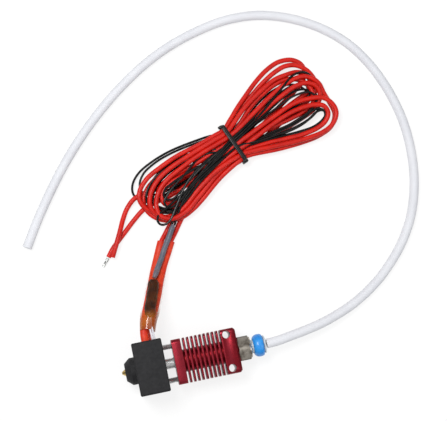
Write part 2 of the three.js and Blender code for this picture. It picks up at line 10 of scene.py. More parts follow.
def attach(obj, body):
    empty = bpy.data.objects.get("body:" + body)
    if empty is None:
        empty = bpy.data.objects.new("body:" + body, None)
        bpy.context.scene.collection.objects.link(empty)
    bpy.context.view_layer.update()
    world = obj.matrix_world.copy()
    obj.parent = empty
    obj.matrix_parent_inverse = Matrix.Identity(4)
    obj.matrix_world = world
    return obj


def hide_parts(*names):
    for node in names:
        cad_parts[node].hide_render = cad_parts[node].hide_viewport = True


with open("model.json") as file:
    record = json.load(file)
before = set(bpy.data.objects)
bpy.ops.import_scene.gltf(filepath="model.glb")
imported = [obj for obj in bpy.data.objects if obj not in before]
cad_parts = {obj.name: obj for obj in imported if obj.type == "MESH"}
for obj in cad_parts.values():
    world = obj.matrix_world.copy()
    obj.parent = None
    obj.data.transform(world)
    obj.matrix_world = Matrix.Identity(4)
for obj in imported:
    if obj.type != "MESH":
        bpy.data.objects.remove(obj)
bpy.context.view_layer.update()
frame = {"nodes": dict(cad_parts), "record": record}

# A Bowden hotend on a pale floor, with its PTFE tube and its wires tied in a hank.
# Sizes in this file are in millimetres in the part's own frame, and M turns them into metres.
M = 0.001
AXIS_Z = 8.0  # height of the filament's axis over the floor


# ---- camera, floor and light ---------------------------------------------------------------

def look(obj, eye, target, turn):
    """Stands obj at eye, looking at target, so that the floor direction at the angle turn from +Y
    points up in its view."""
    eye, target = Vector(eye) * M, Vector(target) * M
    back = (eye - target).normalized()
    ahead = Vector((math.sin(turn), math.cos(turn), 0.0))
    right = ahead.cross(back).normalized()
    up = back.cross(right)
    axes = Matrix((right, up, back)).transposed().to_4x4()
    obj.matrix_world = Matrix.Translation(eye) @ axes


CAMERA_EYE, CAMERA_TARGET = (-23.8, -2.6, 528.3), (25.27, 59.5, 0.0)
CAMERA_TURN = math.radians(11.66)
LENS, SENSOR_WIDTH = 100.0, 36.0
NEAREST = 20  # what is closer to the camera isn't shown


def add_camera():
    data = bpy.data.cameras.new("camera")
    data.lens = LENS
    data.sensor_width = SENSOR_WIDTH
    data.sensor_fit = "HORIZONTAL"
    data.clip_start = NEAREST * M
    camera = bpy.data.objects.new("camera", data)
    bpy.context.collection.objects.link(camera)
    look(camera, CAMERA_EYE, CAMERA_TARGET, CAMERA_TURN)
    bpy.context.scene.camera = camera


def add_area_light(name, eye, target, size, power):
    data = bpy.data.lights.new(name, "AREA")
    data.shape = "RECTANGLE"
    data.size, data.size_y = size[0] * M, size[1] * M
    data.energy = power
    light = bpy.data.objects.new(name, data)
    bpy.context.collection.objects.link(light)
    look(light, eye, target, 0.0)


def floor_material():
    """White paper over a light box: some of its light is its own, so shadows on it stay faint."""
    material, _, shader = new_material("floor_paper")
    shader.inputs["Base Color"].default_value = (0.2, 0.2, 0.2, 1)
    shader.inputs["Roughness"].default_value = 0.95
    shader.inputs["Specular IOR Level"].default_value = 0.0
    shader.inputs["Emission Color"].default_value = (1.0, 1.0, 1.0, 1)
    shader.inputs["Emission Strength"].default_value = 0.8
    return material


def add_world():
    """Soft light from all round, brightest overhead."""
    world = bpy.data.worlds.new("studio")
    world.use_nodes = True
    tree = world.node_tree
    place = node(tree, "ShaderNodeTexCoord")
    axes = node(tree, "ShaderNodeSeparateXYZ")
    tree.links.new(place.outputs["Generated"], axes.inputs["Vector"])
    low, level, high = grey(0.12), grey(0.15), grey(0.7)
    colour = ramp(tree, axes.outputs["Z"], [(0.0, low), (0.25, level), (0.8, high)])
    tree.links.new(colour, tree.nodes["Background"].inputs["Color"])
    bpy.context.scene.world = world


FLOOR_REACH = 1500  # from the middle of the floor to each of its edges


def add_stage():
    mesh = bpy.data.meshes.new("floor")
    side = FLOOR_REACH * M
    corners = [(-side, -side, 0), (side, -side, 0), (side, side, 0), (-side, side, 0)]
    mesh.from_pydata(corners, [], [(0, 1, 2, 3)])
    floor = bpy.data.objects.new("floor", mesh)
    bpy.context.collection.objects.link(floor)
    mesh.materials.append(floor_material())
    add_world()
    add_area_light("key", eye=(-160, 210, 560), target=(20, 60, 0), size=(240, 240), power=2.5)
    add_area_light("fill", eye=(330, -200, 420), target=(20, 40, 0), size=(260, 260), power=0.5)
    view = bpy.context.scene.view_settings
    view.view_transform = "Standard"
    view.look = "None"


# ---- materials ------------------------------------------------------------------------------

def new_material(name):
    material = bpy.data.materials.new(name)
    material.use_nodes = True
    tree = material.node_tree
    return material, tree, tree.nodes["Principled BSDF"]


def node(tree, kind, **values):
    """A new node with the given values on its input sockets, or else on the node itself."""
    made = tree.nodes.new(kind)
    for key, value in values.items():
        if key in made.inputs:
            made.inputs[key].default_value = value
        else:
            setattr(made, key, value)
    return made


def coordinates(tree, stretch=(1, 1, 1)):
    """A place on the object, in metres, times stretch along each axis."""
    place = node(tree, "ShaderNodeTexCoord")
    mapping = node(tree, "ShaderNodeMapping")
    mapping.inputs["Scale"].default_value = stretch
    tree.links.new(place.outputs["Object"], mapping.inputs["Vector"])
    return mapping.outputs["Vector"]


def noise_at(tree, where, scale, detail=3.0, distortion=0.0):
    made = node(tree, "ShaderNodeTexNoise", Scale=scale, Detail=detail, Distortion=distortion)
    tree.links.new(where, made.inputs["Vector"])
    return made.outputs["Fac"]


def ramp(tree, source, stops):
    """A colour for each value of the source, given as (value, colour) stops."""
    made = node(tree, "ShaderNodeValToRGB")
    elements = made.color_ramp.elements
    while len(elements) < len(stops):
        elements.new(0.5)
    for element, (position, colour) in zip(elements, stops):
        element.position = position
        element.color = (*colour, 1.0)
    tree.links.new(source, made.inputs["Fac"])
    return made.outputs["Color"]


def grey(value):
    return (value, value, value)


def blend(tree, factor, low, high):
    """A colour between low, which is a socket, and high, which is a plain colour."""
    mix = node(tree, "ShaderNodeMix", data_type="RGBA")
    colours = [socket for socket in mix.inputs if socket.type == "RGBA"]
    tree.links.new(factor, mix.inputs[0])
    tree.links.new(low, colours[0])
    colours[1].default_value = (*high, 1.0)
    return next(socket for socket in mix.outputs if socket.type == "RGBA")


def thicker(tree, cover, start, end, most):
    """The cover of a film that lies in more layers from y = start on to y = end, in metres, where
    most has been added to it."""
    place = node(tree, "ShaderNodeTexCoord")
    axes = node(tree, "ShaderNodeSeparateXYZ")
    tree.links.new(place.outputs["Object"], axes.inputs["Vector"])
    layers = node(tree, "ShaderNodeMapRange")
    for key, value in zip(("From Min", "From Max", "To Min", "To Max"), (start, end, 0.0, most)):
        layers.inputs[key].default_value = value
    tree.links.new(axes.outputs["Y"], layers.inputs["Value"])
    total = node(tree, "ShaderNodeMath", operation="ADD")
    tree.links.new(cover, total.inputs[0])
    tree.links.new(layers.outputs["Result"], total.inputs[1])
    return total.outputs["Value"]


# The scales of a finish's broader and finer noises, as parts of its grain.
BROAD, SMEARS, SPECKS, VEIL = 0.22, 0.12, 1.7, 0.3
# The height in metres of a finish's grain at full strength.
RELIEF = 0.00005


def finish(name, dark, light, rough, grain=1500.0, bump=0.15, stretch=(1, 1, 1), worn=None,
           dust=None, alpha=None, folded=None, **sockets):
    """A procedural finish. Colour and roughness vary with noise, and a fine grain stands in relief. An
    edge colour shows along the sharp edges: edge wear on most finishes, and a painted highlight on the
    rounded edges of the red anodised heatsink. Specks of dust lie in a second noise.
    With alpha the surface is a film that covers from alpha[0] to alpha[1] of what is under it, and
    folded gives the stretch where it covers more."""
    material, tree, shader = new_material(name)
    where = coordinates(tree, stretch)
    broad = noise_at(tree, where, grain * BROAD, 4.0, 0.3)
    colour = ramp(tree, broad, [(0.35, dark), (0.65, light)])
    if worn:
        # Lighter colour along sharp edges, found from pointiness: edge wear, and on the red anodised
        # heatsink a painted highlight on its rounded edges.
        geometry = node(tree, "ShaderNodeNewGeometry")
        edge = ramp(tree, geometry.outputs["Pointiness"], [(0.52, grey(0)), (0.6, grey(0.9))])
        colour = blend(tree, edge, colour, worn)
    if dust:
        specks = noise_at(tree, coordinates(tree), grain * SPECKS, 6.0, 0.8)
        dusty = ramp(tree, specks, [(0.62, grey(0)), (0.74, grey(0.55))])
        colour = blend(tree, dusty, colour, dust)
    tree.links.new(colour, shader.inputs["Base Color"])
    fine = noise_at(tree, where, grain, 5.0)
    smears = noise_at(tree, where, grain * SMEARS, 3.0, 0.6)
    both = node(tree, "ShaderNodeMix", data_type="FLOAT")
    both.inputs[0].default_value = 0.5
    tree.links.new(fine, both.inputs[2])
    tree.links.new(smears, both.inputs[3])
    roughness = ramp(tree, both.outputs[0], [(0.38, grey(rough[0])), (0.62, grey(rough[1]))])
    tree.links.new(roughness, shader.inputs["Roughness"])
    relief = node(tree, "ShaderNodeBump", Strength=bump, Distance=RELIEF)
    tree.links.new(fine, relief.inputs["Height"])
    tree.links.new(relief.outputs["Normal"], shader.inputs["Normal"])
    if alpha:
        veil = noise_at(tree, where, grain * VEIL, 3.0, 1.2)
        cover = ramp(tree, veil, [(0.35, grey(alpha[0])), (0.7, grey(alpha[1]))])
        if folded:
            cover = thicker(tree, cover, *folded)
        tree.links.new(cover, shader.inputs["Alpha"])
    for socket, value in sockets.items():
        shader.inputs[socket.replace("_", " ")].default_value = value
    return material


def materials():
    """Each finish by its name: its dark and light colours, its roughness from and to, and the rest."""
    made = {}

    def put(key, *args, **values):
        made[key] = finish(key, *args, **values)

    # Its pink edge colour is a painted highlight on the heatsink's rounded edges, not wear.
    put("red_anodised", (0.105, 0.001, 0.003), (0.145, 0.002, 0.006), (0.28, 0.4), Metallic=0.6,
        grain=2600, bump=0.06, stretch=(1, 3, 1), worn=(0.45, 0.05, 0.08),
        Specular_IOR_Level=0.12)
    put("brass", (0.42, 0.29, 0.10), (0.58, 0.42, 0.16), (0.2, 0.36), Metallic=1.0, grain=2200,
        worn=(0.75, 0.6, 0.32))
    put("steel", grey(0.55), grey(0.75), (0.12, 0.28), Metallic=0.75, grain=2600, bump=0.06,
        stretch=(1, 4, 4), worn=grey(0.8))
    put("bare_aluminium", grey(0.5), grey(0.62), (0.28, 0.45), Metallic=1.0, grain=2200,
        stretch=(1, 1, 5), worn=grey(0.8))
    put("silicone", (0.0135, 0.0135, 0.0148), (0.0175, 0.0175, 0.0192), (0.55, 0.75), grain=3800,
        bump=0.2, dust=(0.03, 0.03, 0.03), Specular_IOR_Level=0.22)
    put("ceramic", (0.62, 0.59, 0.52), (0.74, 0.71, 0.63), (0.6, 0.8), grain=3000)
    put("glass_bead", (0.35, 0.16, 0.07), (0.5, 0.26, 0.12), (0.08, 0.16), Coat_Weight=0.5)
    # The wide spread from dark to light in this colour paints reflection patches onto the plating.
    put("nickel", (0.15, 0.12, 0.09), (0.64, 0.58, 0.50), (0.1, 0.24), Metallic=1.0, grain=1800,
        bump=0.08, worn=(0.75, 0.70, 0.62))
    put("black_rubber", grey(0.012), grey(0.02), (0.5, 0.65))
    put("blue_plastic", (0.012, 0.22, 0.66), (0.02, 0.28, 0.74), (0.3, 0.42), grain=1500, bump=0.06,
        worn=(0.06, 0.36, 0.80), Coat_Weight=0.1)
    put("pale_plastic", (0.48, 0.53, 0.57), (0.60, 0.64, 0.67), (0.25, 0.4), grain=1400,
        Subsurface_Weight=0.2, Subsurface_Radius=(0.001, 0.001, 0.001))
    put("ptfe", (0.66, 0.67, 0.71), (0.71, 0.72, 0.755), (0.5, 0.62), grain=420, bump=0.02,
        Specular_IOR_Level=0.2)
    put("red_wire", (0.48, 0.006, 0.002), (0.60, 0.011, 0.004), (0.34, 0.5), grain=900, bump=0.1,
        Specular_IOR_Level=0.28)
    put("red_sleeve", (0.58, 0.022, 0.006), (0.72, 0.050, 0.012), (0.42, 0.6), grain=1600, bump=0.35,
        Specular_IOR_Level=0.3, dust=(0.5, 0.1, 0.06))
    put("black_wire", grey(0.003), grey(0.007), (0.22, 0.38), grain=1100, bump=0.1,
        Specular_IOR_Level=0.25)
    put("white_lead", (0.60, 0.59, 0.64), (0.74, 0.73, 0.77), (0.5, 0.65), grain=2600, bump=0.3)
    put("grey_shrink", (0.085, 0.09, 0.125), (0.13, 0.135, 0.17), (0.35, 0.5), grain=1500, bump=0.2,
        Specular_IOR_Level=0.4)
    put("dark_shrink", (0.012, 0.006, 0.004), (0.022, 0.010, 0.006), (0.4, 0.6), grain=1200,
        Specular_IOR_Level=0.15)
    put("amber_film", (0.36, 0.06, 0.010), (0.62, 0.20, 0.02), (0.08, 0.22), grain=420, bump=0.35,
        alpha=(0.012, 0.085), folded=(0.0235, 0.018, 0.5), Coat_Weight=0.15)
    put("tinned_copper", (0.34, 0.35, 0.34), (0.5, 0.51, 0.5), (0.25, 0.4), Metallic=1.0, grain=2600,
        bump=0.4)
    put("black_tie", grey(0.003), grey(0.006), (0.3, 0.44), grain=2000, bump=0.15, worn=grey(0.03),
        Specular_IOR_Level=0.28)
    return made


# ---- meshes ------------------------------------------------------------------------------------

SMOOTH_TO = math.radians(35)  # faces that meet at a sharper angle show an edge


def put_object(name, mesh, material, body, replaced=()):
    """Adds a visual piece that rides on a body, in place of the CAD nodes named in replaced."""
    obj = bpy.data.objects.new(name, mesh)
    bpy.context.collection.objects.link(obj)
    mesh.materials.clear()
    mesh.materials.append(LOOKS[material])
    mesh.polygons.foreach_set("use_smooth", [True] * len(mesh.polygons))
    mesh.set_sharp_from_angle(angle=SMOOTH_TO)
    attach(obj, body)
    if replaced:
        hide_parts(*replaced)
    return obj


def closed(vertices, faces):
    """A mesh in metres of the given millimetre points, with its faces turned outwards."""
    mesh = bpy.data.meshes.new("piece")
    mesh.from_pydata([tuple(Vector(v) * M) for v in vertices], [], faces)
    box = bmesh.new()
    box.from_mesh(mesh)
    bmesh.ops.recalc_face_normals(box, faces=box.faces)
    box.to_mesh(mesh)
    box.free()
    return mesh


FLAT, SHARP = math.radians(1.0), math.radians(32.0)


def refined(node_name, bevel):
    """A copy of a CAD node's mesh with its flats merged and its sharp edges rounded."""
    mesh = frame["nodes"][node_name].data.copy()
    box = bmesh.new()
    box.from_mesh(mesh)
    bmesh.ops.remove_doubles(box, verts=box.verts, dist=1e-6)
    bmesh.ops.dissolve_limit(box, angle_limit=FLAT, verts=box.verts, edges=box.edges)
    edges = [e for e in box.edges if e.is_manifold and e.calc_face_angle() > SHARP]
    bmesh.ops.bevel(box, geom=edges, offset=bevel * M, segments=2, profile=0.5,
                    affect="EDGES", clamp_overlap=True)
    bmesh.ops.triangulate(box, faces=[f for f in box.faces if len(f.verts) > 4])
    box.to_mesh(mesh)
    box.free()
    return mesh


def lathe(profile, sides=96, y=0.0):
    """A body turned about the filament axis, or about a line beside it at y. The profile is a
    closed list of (x, radius)."""
    vertices, faces = [], []
    for x, radius in profile:
        for k in range(sides):
            angle = 2 * math.pi * k / sides
            vertices.append((x, y + radius * math.cos(angle), AXIS_Z + radius * math.sin(angle)))
    rows = len(profile)
    for i in range(rows):
        for k in range(sides):
            a, b = i * sides, (i + 1) % rows * sides
            faces.append((a + k, a + (k + 1) % sides, b + (k + 1) % sides, b + k))
    return closed(vertices, faces)


SPLINE_STEPS = 16  # points worked out between two given ones


def through(points, step):
    """Points every step millimetres along a smooth line (centripetal) through the given points."""
    given = [np.array(p, float) for p in points]
    given = [2 * given[0] - given[1], *given, 2 * given[-1] - given[-2]]
    line = []
    for a, b, c, d in zip(given, given[1:], given[2:], given[3:]):
        knots = [0.0]
        for p, q in ((a, b), (b, c), (c, d)):
            knots.append(knots[-1] + math.sqrt(np.linalg.norm(q - p)))
        t0, t1, t2, t3 = knots
        for t in np.linspace(t1, t2, SPLINE_STEPS, endpoint=False):
            ab = ((t1 - t) * a + (t - t0) * b) / (t1 - t0)
            bc = ((t2 - t) * b + (t - t1) * c) / (t2 - t1)
            cd = ((t3 - t) * c + (t - t2) * d) / (t3 - t2)
            abc = ((t2 - t) * ab + (t - t0) * bc) / (t2 - t0)
            bcd = ((t3 - t) * bc + (t - t1) * cd) / (t3 - t1)
            line.append(((t2 - t) * abc + (t - t1) * bcd) / (t2 - t1))
    line.append(given[-2])
    return evenly(np.array(line), step)


def evenly(line, step):
    """The same line with its points about a step apart."""
    lengths = np.concatenate(([0], np.cumsum(np.linalg.norm(np.diff(line, axis=0), axis=1))))
    count = max(2, int(round(lengths[-1] / step)) + 1)
    at = np.linspace(0, lengths[-1], count)
    return np.stack([np.interp(at, lengths, line[:, axis]) for axis in range(3)], axis=1)


def frames(line):
    """At each point the unit vectors across the line, turned as little as possible along it."""
    tangents = np.gradient(line, axis=0)
    tangents /= np.linalg.norm(tangents, axis=1)[:, None]
    side = np.cross(tangents[0], (0.0, 0.0, 1.0))
    if np.linalg.norm(side) < 0.1:
        side = np.cross(tangents[0], (0.0, 1.0, 0.0))
    made = []
    for tangent in tangents:
        side = side - tangent * side.dot(tangent)
        side /= np.linalg.norm(side)
        made.append((side, np.cross(tangent, side)))
    return made


def swept(line, radius, sides=16, bore=0.0, shape=None):
    """A closed tube along the line, hollow with a bore. shape(part of the way, angle) gives a
    factor on its radius."""
    across = frames(line)
    turn = np.arange(sides) * 2 * math.pi / sides
    way = np.linspace(0.0, 1.0, len(line))
    vertices, faces = [], []
    rings = [radius, bore] if bore else [radius]
    count = len(line)
    for ring in rings:
        for point, (side, up), part in zip(line, across, way):
            for angle in turn:
                reach = ring * (shape(part, angle) if shape else 1.0)
                vertices.append(point + reach * (math.cos(angle) * side + math.sin(angle) * up))

    def corner(ring, i, k):
        return (ring * count + i) * sides + k % sides

    for ring in range(len(rings)):
        for i in range(count - 1):
            for k in range(sides):
                faces.append((corner(ring, i, k), corner(ring, i, k + 1),
                              corner(ring, i + 1, k + 1), corner(ring, i + 1, k)))
    for i in (0, count - 1):
        if bore:
            faces += [(corner(0, i, k), corner(0, i, k + 1), corner(1, i, k + 1), corner(1, i, k))
                      for k in range(sides)]
        else:
            faces.append([corner(0, i, k) for k in range(sides)])
    return closed(vertices, faces)


LOOKS = {}
add_camera()
add_stage()
LOOKS.update(materials())

for entry in frame["record"]["subparts"]:
    carried = frame["nodes"][entry["node"]]
    carried.data.materials.clear()
    carried.data.materials.append(LOOKS[entry["material_slot"]])

# ---- the hotend's pieces -----------------------------------------------------------------------

# CAD node: width of its rounded edges in millimetres.
ROUNDED = {
    "heatsink": 0.12, "silicone_sock": 0.3, "heater_block": 0.15, "nozzle": 0.06,
    "coupler_body": 0.12,
}
SLOT_OF = {entry["node"]: entry["material_slot"] for entry in frame["record"]["subparts"]}
BODY_OF = {name: body for body, names in frame["record"]["behaviour"]["bodies"].items()
           for name in names}
for name, bevel in ROUNDED.items():
    put_object(name + "_piece", refined(name, bevel), SLOT_OF[name], BODY_OF[name],
               [name])


def rounded_profile(points, radius, steps=4):
    """A closed outline with each corner rounded by the radius, or by less on a short side."""
    made = []
    for before, here, after in zip(points[-1:] + points[:-1], points, points[1:] + points[:1]):
        a, b, c = (np.array(p, float) for p in (before, here, after))
        cut = min(radius, np.linalg.norm(a - b) / 2.2, np.linalg.norm(c - b) / 2.2)
        start = b + (a - b) / np.linalg.norm(a - b) * cut
        end = b + (c - b) / np.linalg.norm(c - b) * cut
        for t in np.linspace(0, 1, steps + 1):
            made.append(tuple((1 - t) ** 2 * start + 2 * t * (1 - t) * b + t ** 2 * end))
    return made


# Outlines about the filament axis: x along it, and radius.
RING_PROFILE = [
    (25.1, 2.95), (25.1, 3.4), (25.6, 4.1), (26.3, 4.55), (27.2, 4.75), (28.4, 4.7), (29.1, 4.4),
    (29.4, 3.9), (29.4, 2.95),
]
LIP_PROFILE = [
    (23.3, 2.3), (23.3, 2.75), (29.55, 2.75), (29.55, 3.5), (29.75, 3.7), (30.1, 3.7), (30.3, 3.4),
    (30.3, 2.3),
]
put_object("release_ring_piece", lathe(rounded_profile(RING_PROFILE, 0.3)), "blue_plastic",
           "release_collar", ["release_ring"])
put_object("release_sleeve_piece", lathe(rounded_profile(LIP_PROFILE, 0.1)), "pale_plastic",
           "release_collar", ["release_sleeve"])


def threaded(start, end, radius, pitch, depth):
    """The outline of a threaded length: a groove of the given depth and a ridge to each pitch."""
    groove, ridge = 0.2, 0.6
    turns = int((end - start) / pitch)
    return [(start + (i + part) * pitch, radius - depth * (part == groove))
            for i in range(turns) for part in (groove, ridge)]


BREAK_PROFILE = [
    (-17.6, 1.0), (-17.6, 2.8), *threaded(-17.3, -13.6, 2.95, 1.0, 0.25), (-13.3, 2.7),
    (-13.0, 2.2), (-8.7, 2.2), (-8.3, 3.0), (7.2, 3.0), (7.2, 2.15), (-6.3, 2.15), (-6.3, 1.0),
]
put_object("heat_break_piece", lathe(BREAK_PROFILE, sides=64), "steel", "hotend",
           ["heat_break"])

SCREW_PROFILE = [
    (-23.3, 0.85), (-23.3, 2.2), (-23.1, 2.3), (-22.0, 1.15), (-14.5, 1.15),
    *threaded(-14.2, -4.9, 1.15, 0.45, 0.12), (-4.7, 0.85), (-4.7, 0.05), (-22.3, 0.05),
    (-22.3, 0.85),
]
SCREW_ASIDE = 7.0  # from the filament's axis to each support screw's
for name, y in (("support_screw_left", SCREW_ASIDE), ("support_screw_right", -SCREW_ASIDE)):
    put_object(name + "_piece", lathe(SCREW_PROFILE, sides=40, y=y), "steel", "hotend",
               [name])

# ---- the free cords -----------------------------------------------------------------------------

TUBE_ROUTE = [
    (30.9, 0, 8), (35.3, 0.2, 7.95), (42.1, 1.2, 7.4), (48.9, 2.3, 6.5), (55.7, 3.7, 5.4),
    (62.4, 5.7, 4.3), (69, 8.1, 3.3), (75.3, 11.2, 2.5), (81.3, 14.9, 2.1), (86.8, 19.1, 2.05),
    (96.6, 29.1, 2.05), (104.2, 41, 2.05), (108.8, 54.3, 2.05), (110.7, 68.3, 2.05),
    (110.2, 82.4, 2.05), (107.1, 96.2, 2.05), (101.7, 109.3, 2.05), (93.8, 121, 2.05),
    (83.2, 130.3, 2.05), (70.8, 137, 2.05), (57.2, 140.9, 2.05), (43, 141.3, 2.05),
    (29.1, 138.6, 2.05), (15.6, 134, 2.05), (3, 127.6, 2.05), (-8.7, 119.7, 2.05),
    (-19.5, 110.8, 2.05), (-29.5, 101.1, 2.05), (-38.6, 90.7, 2.05), (-46.9, 79.7, 2.05),
    (-54.5, 68.4, 2.05), (-59.7, 59.7, 2.05),
]
SLEEVE_A_ROUTE = [
    (-18.6, 10.1, 16.2), (-18.5, 13.5, 16.2), (-17.8, 17.5, 15.5), (-16.4, 21.5, 13.8),
    (-14.8, 25.5, 11.3), (-13.1, 29.5, 8.5), (-11.5, 33.5, 6.1), (-9.9, 37.5, 4.3),
    (-8.2, 41.5, 3.0), (-6.3, 45.5, 2.2), (-4.5, 49.5, 1.8), (-3.6, 51.4, 1.7),
]
SLEEVE_B_ROUTE = [
    (-17.6, 10.1, 13.2), (-17.2, 13.5, 13.3), (-15.6, 16.6, 13.4), (-13.8, 20.4, 12.9),
    (-11.9, 24.3, 10.9), (-10.2, 28.3, 8.5), (-8.6, 32.3, 6.2), (-7.0, 36.3, 4.4),
    (-5.2, 40.3, 3.1), (-3.1, 44.4, 2.3), (-0.9, 48.4, 1.8), (0.4, 50.7, 1.7),
]
SPLICE_ROUTE = [
    (-14.7, 20.6, 16.9), (-14.0, 24, 15.0), (-12.7, 27.6, 12.9), (-11.4, 31.3, 10.7),
    (-10.2, 35.2, 8.6),
]
SHRINK_ROUTE = [
    (-9.8, 36.3, 7.8), (-7.9, 39.5, 6.5), (-5.6, 43.3, 5.3), (-3.2, 47.6, 4.4),
    (-0.9, 51.3, 4.0), (2.6, 57.1, 3.9),
]
WRAP_ROUTE = [
    (-16.6, 14.7, 15.9), (-15.3, 20.3, 14.4), (-13.6, 24, 12.4), (-11.9, 28, 10.1),
    (-10.5, 31.8, 8.1), (-9.3, 35.2, 6.4), (-8.2, 38.2, 5.2),
]
LEAD_ROUTE = [
    (-15.2, 7.3, 19.0), (-15.2, 10.4, 19.0), (-15.3, 13.5, 18.7), (-15.4, 16.5, 18.0),
    (-15.1, 19.9, 16.9),
]
BARE_END_ROUTE = [(-27.1, 48.9, 1.1), (-28.5, 47.2, 1.0), (-29.9, 45.6, 0.9)]


def tube(name, route, diameter, material, nodes, step=1.0, bore=0.0, sides=16, shape=None):
    """A round cord or sleeve along a route in millimetres, in place of the CAD nodes."""
    line = through(route, step)
    obj = put_object(name, swept(line, diameter / 2, sides, bore / 2, shape), material,
                     "hotend", nodes)
    return obj, line


# Diameters, then bores.
PTFE_TUBE, HEATER_SLEEVE, SPLICE, SHRINK_TUBE, THIN_LEAD, FILM = 4.0, 2.8, 3.2, 2.3, 0.8, 9.2
PTFE_BORE, SLEEVE_BORE, FILM_BORE = 2.0, 2.3, 9.0
free_tube, tube_line = tube("ptfe_tube_free", TUBE_ROUTE, PTFE_TUBE, "ptfe",
                            ["ptfe_tube"], step=2.0, bore=PTFE_BORE, sides=32)


def tapered(part, angle):
    """Shrunk tube: narrower at its two ends, with a slight waviness along it."""
    end = min(part, 1.0 - part)
    narrow = min(1.0, 0.72 + end * 4.0)
    return narrow * (1.0 + 0.02 * math.sin(19.0 * part + angle))


def crumpled(part, angle):
    """Woven sleeving: flattened, and a little different all along."""
    wide, high = 1.22, 0.92
    flat = 1.0 / math.hypot(math.cos(angle) / wide, math.sin(angle) / high)
    return flat * (1.0 + 0.03 * math.sin(2 * angle + 9.0 * part) * math.sin(23.0 * part))


def soldered(part, angle):
    """Tube shrunk over two soldered joints side by side: wider than high."""
    wide = 1.45
    return tapered(part, angle) / math.hypot(math.cos(angle) / wide, math.sin(angle))


splice, _ = tube("thermistor_splice_piece", SPLICE_ROUTE, SPLICE, "dark_shrink",
                 ["thermistor_splice"], step=0.5, shape=soldered)
shrink, _ = tube("thermistor_shrink_piece", SHRINK_ROUTE, SHRINK_TUBE, "grey_shrink",
                 ["thermistor_shrink_tube"], step=0.7, shape=tapered)
LEAD_ASIDE = 0.45  # from the middle between the two leads to each of them
for side, key in ((-LEAD_ASIDE, "a"), (LEAD_ASIDE, "b")):
    route = [(x + side, y, z) for x, y, z in LEAD_ROUTE]
    lead, _ = tube("thermistor_lead_%s_piece" % key, route, THIN_LEAD, "white_lead",
                   ["thermistor_lead_" + key], step=0.4, sides=12)


def film(part, angle):
    """Film wound round the leads: flattened, narrow at the heater block, creased along it.
    It bulges to the left over the splice, and its upper side closes in at its far end."""
    top = 0.70 + 0.23 * min(1.0, part * 5) - 0.17 * max(0.0, part - 0.75) / 0.25
    right = 0.62 + 0.24 * min(1.0, part * 3.5)
    left = 0.76 + 0.18 * math.exp(-((part - 0.5) / 0.22) ** 2)
    bottom = 0.6
    across = right if math.cos(angle) > 0 else left
    height = top if math.sin(angle) < 0 else bottom
    long_creases = 0.015 * math.sin(2 * angle + 9.0 * part)
    short_creases = 0.008 * math.sin(5 * angle - 21.0 * part)
    crease = 1.0 + long_creases + short_creases
    return crease / math.hypot(math.cos(angle) / across, math.sin(angle) / height)


wrap, _ = tube("insulation_wrap_piece", WRAP_ROUTE, FILM, "amber_film",
               ["insulation_wrap"], step=0.6, bore=FILM_BORE, sides=48, shape=film)
for key, route in (("a", SLEEVE_A_ROUTE), ("b", SLEEVE_B_ROUTE)):
    tube("heater_sleeve_%s_piece" % key, route, HEATER_SLEEVE, "red_sleeve",
                        ["heater_sleeve_" + key], step=0.7, bore=SLEEVE_BORE,
                        sides=20, shape=crumpled)

# ---- the tied hank of wires -------------------------------------------------------------------------

# The hank's own frame: u along it, v across it, z up.
HANK_AT, HANK_TURN = (34.9, 86.4), math.radians(23)


def from_hank(points):
    """Points of the hank's frame in the part's own frame."""
    cosine, sine = math.cos(HANK_TURN), math.sin(HANK_TURN)
    return [(HANK_AT[0] + u * cosine - v * sine, HANK_AT[1] + u * sine + v * cosine, z)
            for u, v, z in points]


def to_hank(points):
    """Points of the part's own frame in the hank's frame."""
    cosine, sine = math.cos(HANK_TURN), math.sin(HANK_TURN)
    return [((x - HANK_AT[0]) * cosine + (y - HANK_AT[1]) * sine,
             (y - HANK_AT[1]) * cosine - (x - HANK_AT[0]) * sine, z) for x, y, z in points]


